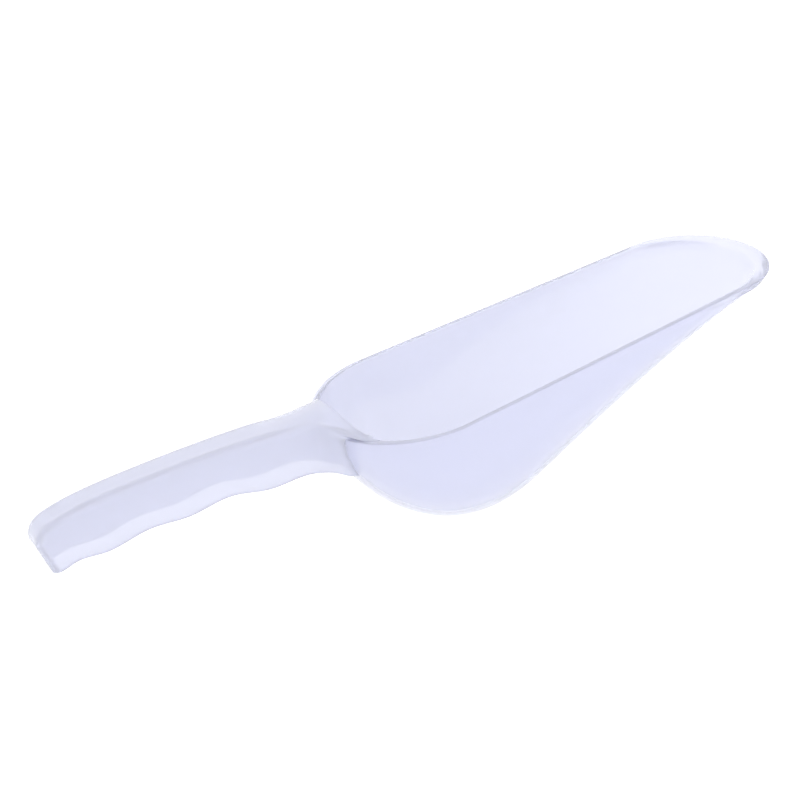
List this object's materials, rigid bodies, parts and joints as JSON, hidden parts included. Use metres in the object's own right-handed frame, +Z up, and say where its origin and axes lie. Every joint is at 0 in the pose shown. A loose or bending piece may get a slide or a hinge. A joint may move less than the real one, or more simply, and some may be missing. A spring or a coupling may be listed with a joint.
{
  "type": "ice scoop",
  "caption": "Clear one-hand ice scoop: a deep rounded bowl with a thin rim band and sloping lip, flared neck and hollow handle with finger bumps.",
  "frame": {"origin": "centre of the box on the counter that the scoop lies on, at rest on its heel and the foot of its handle", "axes": "+Z up from the counter, +X towards the lip, Y across; the rim plane rises 17.67 degrees towards the lip"},
  "size_m": [0.2624, 0.0858, 0.086],
  "materials": {
    "clear_polycarbonate": "clear glossy polycarbonate with a pale lavender cast"
  },
  "bodies": {
    "root": {"bowl_shell": "clear_polycarbonate", "rim_band": "clear_polycarbonate", "neck_bridge": "clear_polycarbonate", "neck_flare_left": "clear_polycarbonate", "neck_flare_right": "clear_polycarbonate", "handle_top": "clear_polycarbonate", "handle_side_left": "clear_polycarbonate", "handle_side_right": "clear_polycarbonate", "handle_end": "clear_polycarbonate"}
  },
  "joints": []
}
